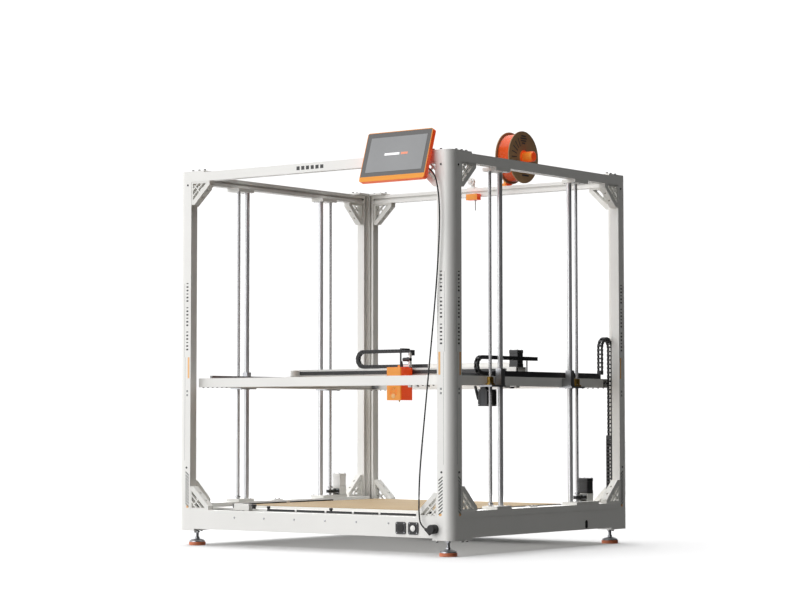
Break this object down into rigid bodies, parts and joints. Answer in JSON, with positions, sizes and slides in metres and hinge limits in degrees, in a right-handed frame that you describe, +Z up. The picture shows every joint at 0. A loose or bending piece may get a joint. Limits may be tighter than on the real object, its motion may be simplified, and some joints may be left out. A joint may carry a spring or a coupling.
{
  "type": "fdm printer",
  "caption": "Large open-frame FDM printer: fixed heated bed, screw-driven gantry, belt-driven beam and toolhead, touchscreen and filament spool.",
  "frame": {"origin": "centre of the object's box (without the screen cable and its plug) on the floor under the feet", "axes": "+Z up, the user and the screen at -Y, +X to the right as the user faces the machine"},
  "size_m": [1.203, 1.229, 1.528],
  "materials": {
    "frame_white": "powder-coated white",
    "steel": "ground",
    "rod_chrome": "polished",
    "brass": "machined",
    "black_metal": "satin black",
    "bed_gold": "fine textured coating",
    "white_metal": "powder-coated white",
    "white_cast": "cast, painted white",
    "black_plastic": "matte",
    "orange_plastic": "satin",
    "filament": "glossy",
    "cardboard": "uncoated board",
    "glass_dark": "glossy",
    "cable_black": "matte",
    "white_plastic": "satin"
  },
  "bodies": {
    "frame": {"post_front_left": "frame_white", "post_front_right": "frame_white", "post_back_left": "frame_white", "post_back_right": "frame_white", "top_rails_front_back": "frame_white", "top_rails_left_right": "frame_white", "base_beam_left": "frame_white", "base_beam_right": "frame_white", "base_panel_front": "white_metal", "base_panel_back": "white_metal", "corner_gussets": "white_cast", "corner_plates": "white_metal", "bed_deck": "white_metal", "build_plates": "bed_gold", "bed_edge_strips": "black_plastic", "electronics": "black_plastic", "panel_connectors": "black_plastic", "z_rods": "rod_chrome", "z_end_blocks": "white_cast", "z_motors": "black_metal", "z_belts": "cable_black", "z_chain_guide": "black_plastic", "screen_housing": "orange_plastic", "screen_glass": "glass_dark", "screen_bracket": "black_metal", "spool_holder": "orange_plastic", "filament_guide": "orange_plastic", "screen_cable": "cable_black", "screen_plug": "cable_black"},
    "gantry": {"gantry_beams": "frame_white", "y_rails": "steel", "bearing_blocks": "white_cast", "lead_nuts": "brass", "y_motor": "black_metal", "y_chain_tray": "black_plastic"},
    "y_drive_shaft": {"y_shaft": "steel"},
    "cross_beam": {"x_beam": "frame_white", "x_rail": "black_metal", "x_end_plates": "white_cast", "x_motor": "black_metal"},
    "toolhead": {"x_carriage": "steel", "toolhead_housing": "orange_plastic", "hotend": "steel"},
    "fan_wheel": {"toolhead_fan": "black_plastic"},
    "x_chain_loop": {"x_chain": "black_plastic"},
    "y_chain_loop": {"y_chain": "black_plastic"},
    "z_chain_loop": {"z_chain": "black_plastic"},
    "z_motor_pulley_left": {"z_pulley_left": "steel"},
    "z_motor_pulley_right": {"z_pulley_right": "steel"},
    "filament_spool": {"spool": "cardboard", "spool_winding": "filament"},
    "filament_guide_wheel": {"guide_wheel": "white_plastic"},
    "screw_front_left": {"lead_screw_front_left": "steel"},
    "levelling_foot_front_left": {"foot_front_left": "steel"},
    "screw_front_right": {"lead_screw_front_right": "steel"},
    "levelling_foot_front_right": {"foot_front_right": "steel"},
    "screw_back_left": {"lead_screw_back_left": "steel"},
    "levelling_foot_back_left": {"foot_back_left": "steel"},
    "screw_back_right": {"lead_screw_back_right": "steel"},
    "levelling_foot_back_right": {"foot_back_right": "steel"}
  },
  "joints": [
    {"name": "z_slide", "type": "slide", "parent": "frame", "child": "gantry", "axis": [0, 0, 1], "range_m": [-0.363, 0.636]},
    {"name": "y_slide", "type": "slide", "parent": "gantry", "child": "cross_beam", "axis": [0, 1, 0], "range_m": [-0.345, 0.435]},
    {"name": "x_slide", "type": "slide", "parent": "cross_beam", "child": "toolhead", "axis": [1, 0, 0], "range_m": [-0.42, 0.37]},
    {"name": "fan_spin", "type": "hinge", "parent": "toolhead", "child": "fan_wheel", "pos_m": [0.029, -0.1096, 0.545], "axis": [0, 1, 0], "continuous": true},
    {"name": "y_shaft_spin", "type": "hinge", "parent": "gantry", "child": "y_drive_shaft", "pos_m": [0, -0.4736, 0.576], "axis": [1, 0, 0], "continuous": true},
    {"name": "x_chain_roll", "type": "slide", "parent": "cross_beam", "child": "x_chain_loop", "axis": [1, 0, 0], "range_m": [-0.2101, 0.1851]},
    {"name": "y_chain_roll", "type": "slide", "parent": "gantry", "child": "y_chain_loop", "axis": [0, 1, 0], "range_m": [-0.1726, 0.2176]},
    {"name": "z_chain_roll", "type": "slide", "parent": "frame", "child": "z_chain_loop", "axis": [0, 0, 1], "range_m": [-0.1816, 0.3181]},
    {"name": "spool_spin", "type": "hinge", "parent": "frame", "child": "filament_spool", "pos_m": [0.13, 0.5164, 1.43], "axis": [1, 0, 0], "continuous": true},
    {"name": "guide_wheel_spin", "type": "hinge", "parent": "frame", "child": "filament_guide_wheel", "pos_m": [-0.075, 0.5094, 1.352], "axis": [0, 1, 0], "continuous": true},
    {"name": "screw_spin_front_left", "type": "hinge", "parent": "frame", "child": "screw_front_left", "pos_m": [-0.561, -0.2796, 0.5], "axis": [0, 0, 1], "continuous": true},
    {"name": "screw_spin_front_right", "type": "hinge", "parent": "frame", "child": "screw_front_right", "pos_m": [0.561, -0.2796, 0.5], "axis": [0, 0, 1], "continuous": true},
    {"name": "screw_spin_back_left", "type": "hinge", "parent": "frame", "child": "screw_back_left", "pos_m": [-0.561, 0.2544, 0.5], "axis": [0, 0, 1], "continuous": true},
    {"name": "screw_spin_back_right", "type": "hinge", "parent": "frame", "child": "screw_back_right", "pos_m": [0.561, 0.2544, 0.5], "axis": [0, 0, 1], "continuous": true},
    {"name": "z_pulley_spin_left", "type": "hinge", "parent": "frame", "child": "z_motor_pulley_left", "pos_m": [-0.561, 0.3104, 0.17], "axis": [0, 0, 1], "continuous": true},
    {"name": "z_pulley_spin_right", "type": "hinge", "parent": "frame", "child": "z_motor_pulley_right", "pos_m": [0.561, 0.3104, 0.17], "axis": [0, 0, 1], "continuous": true},
    {"name": "foot_turn_front_left", "type": "hinge", "parent": "frame", "child": "levelling_foot_front_left", "pos_m": [-0.552, -0.5081, 0.05], "axis": [0, 0, 1], "continuous": true},
    {"name": "foot_turn_front_right", "type": "hinge", "parent": "frame", "child": "levelling_foot_front_right", "pos_m": [0.552, -0.5081, 0.05], "axis": [0, 0, 1], "continuous": true},
    {"name": "foot_turn_back_left", "type": "hinge", "parent": "frame", "child": "levelling_foot_back_left", "pos_m": [-0.552, 0.4829, 0.05], "axis": [0, 0, 1], "continuous": true},
    {"name": "foot_turn_back_right", "type": "hinge", "parent": "frame", "child": "levelling_foot_back_right", "pos_m": [0.552, 0.4829, 0.05], "axis": [0, 0, 1], "continuous": true}
  ],
  "couplings": [
    {"joint": "y_shaft_spin", "follows": "y_slide", "rad_per_m": 95.238},
    {"joint": "x_chain_roll", "follows": "x_slide", "ratio": 0.5},
    {"joint": "y_chain_roll", "follows": "y_slide", "ratio": 0.5},
    {"joint": "z_chain_roll", "follows": "z_slide", "ratio": 0.5},
    {"joint": "screw_spin_front_left", "follows": "z_slide", "rad_per_m": 785.4},
    {"joint": "screw_spin_front_right", "follows": "z_slide", "rad_per_m": 785.4},
    {"joint": "screw_spin_back_left", "follows": "z_slide", "rad_per_m": 785.4},
    {"joint": "screw_spin_back_right", "follows": "z_slide", "rad_per_m": 785.4},
    {"joint": "z_pulley_spin_left", "follows": "z_slide", "rad_per_m": 785.4},
    {"joint": "z_pulley_spin_right", "follows": "z_slide", "rad_per_m": 785.4}
  ]
}
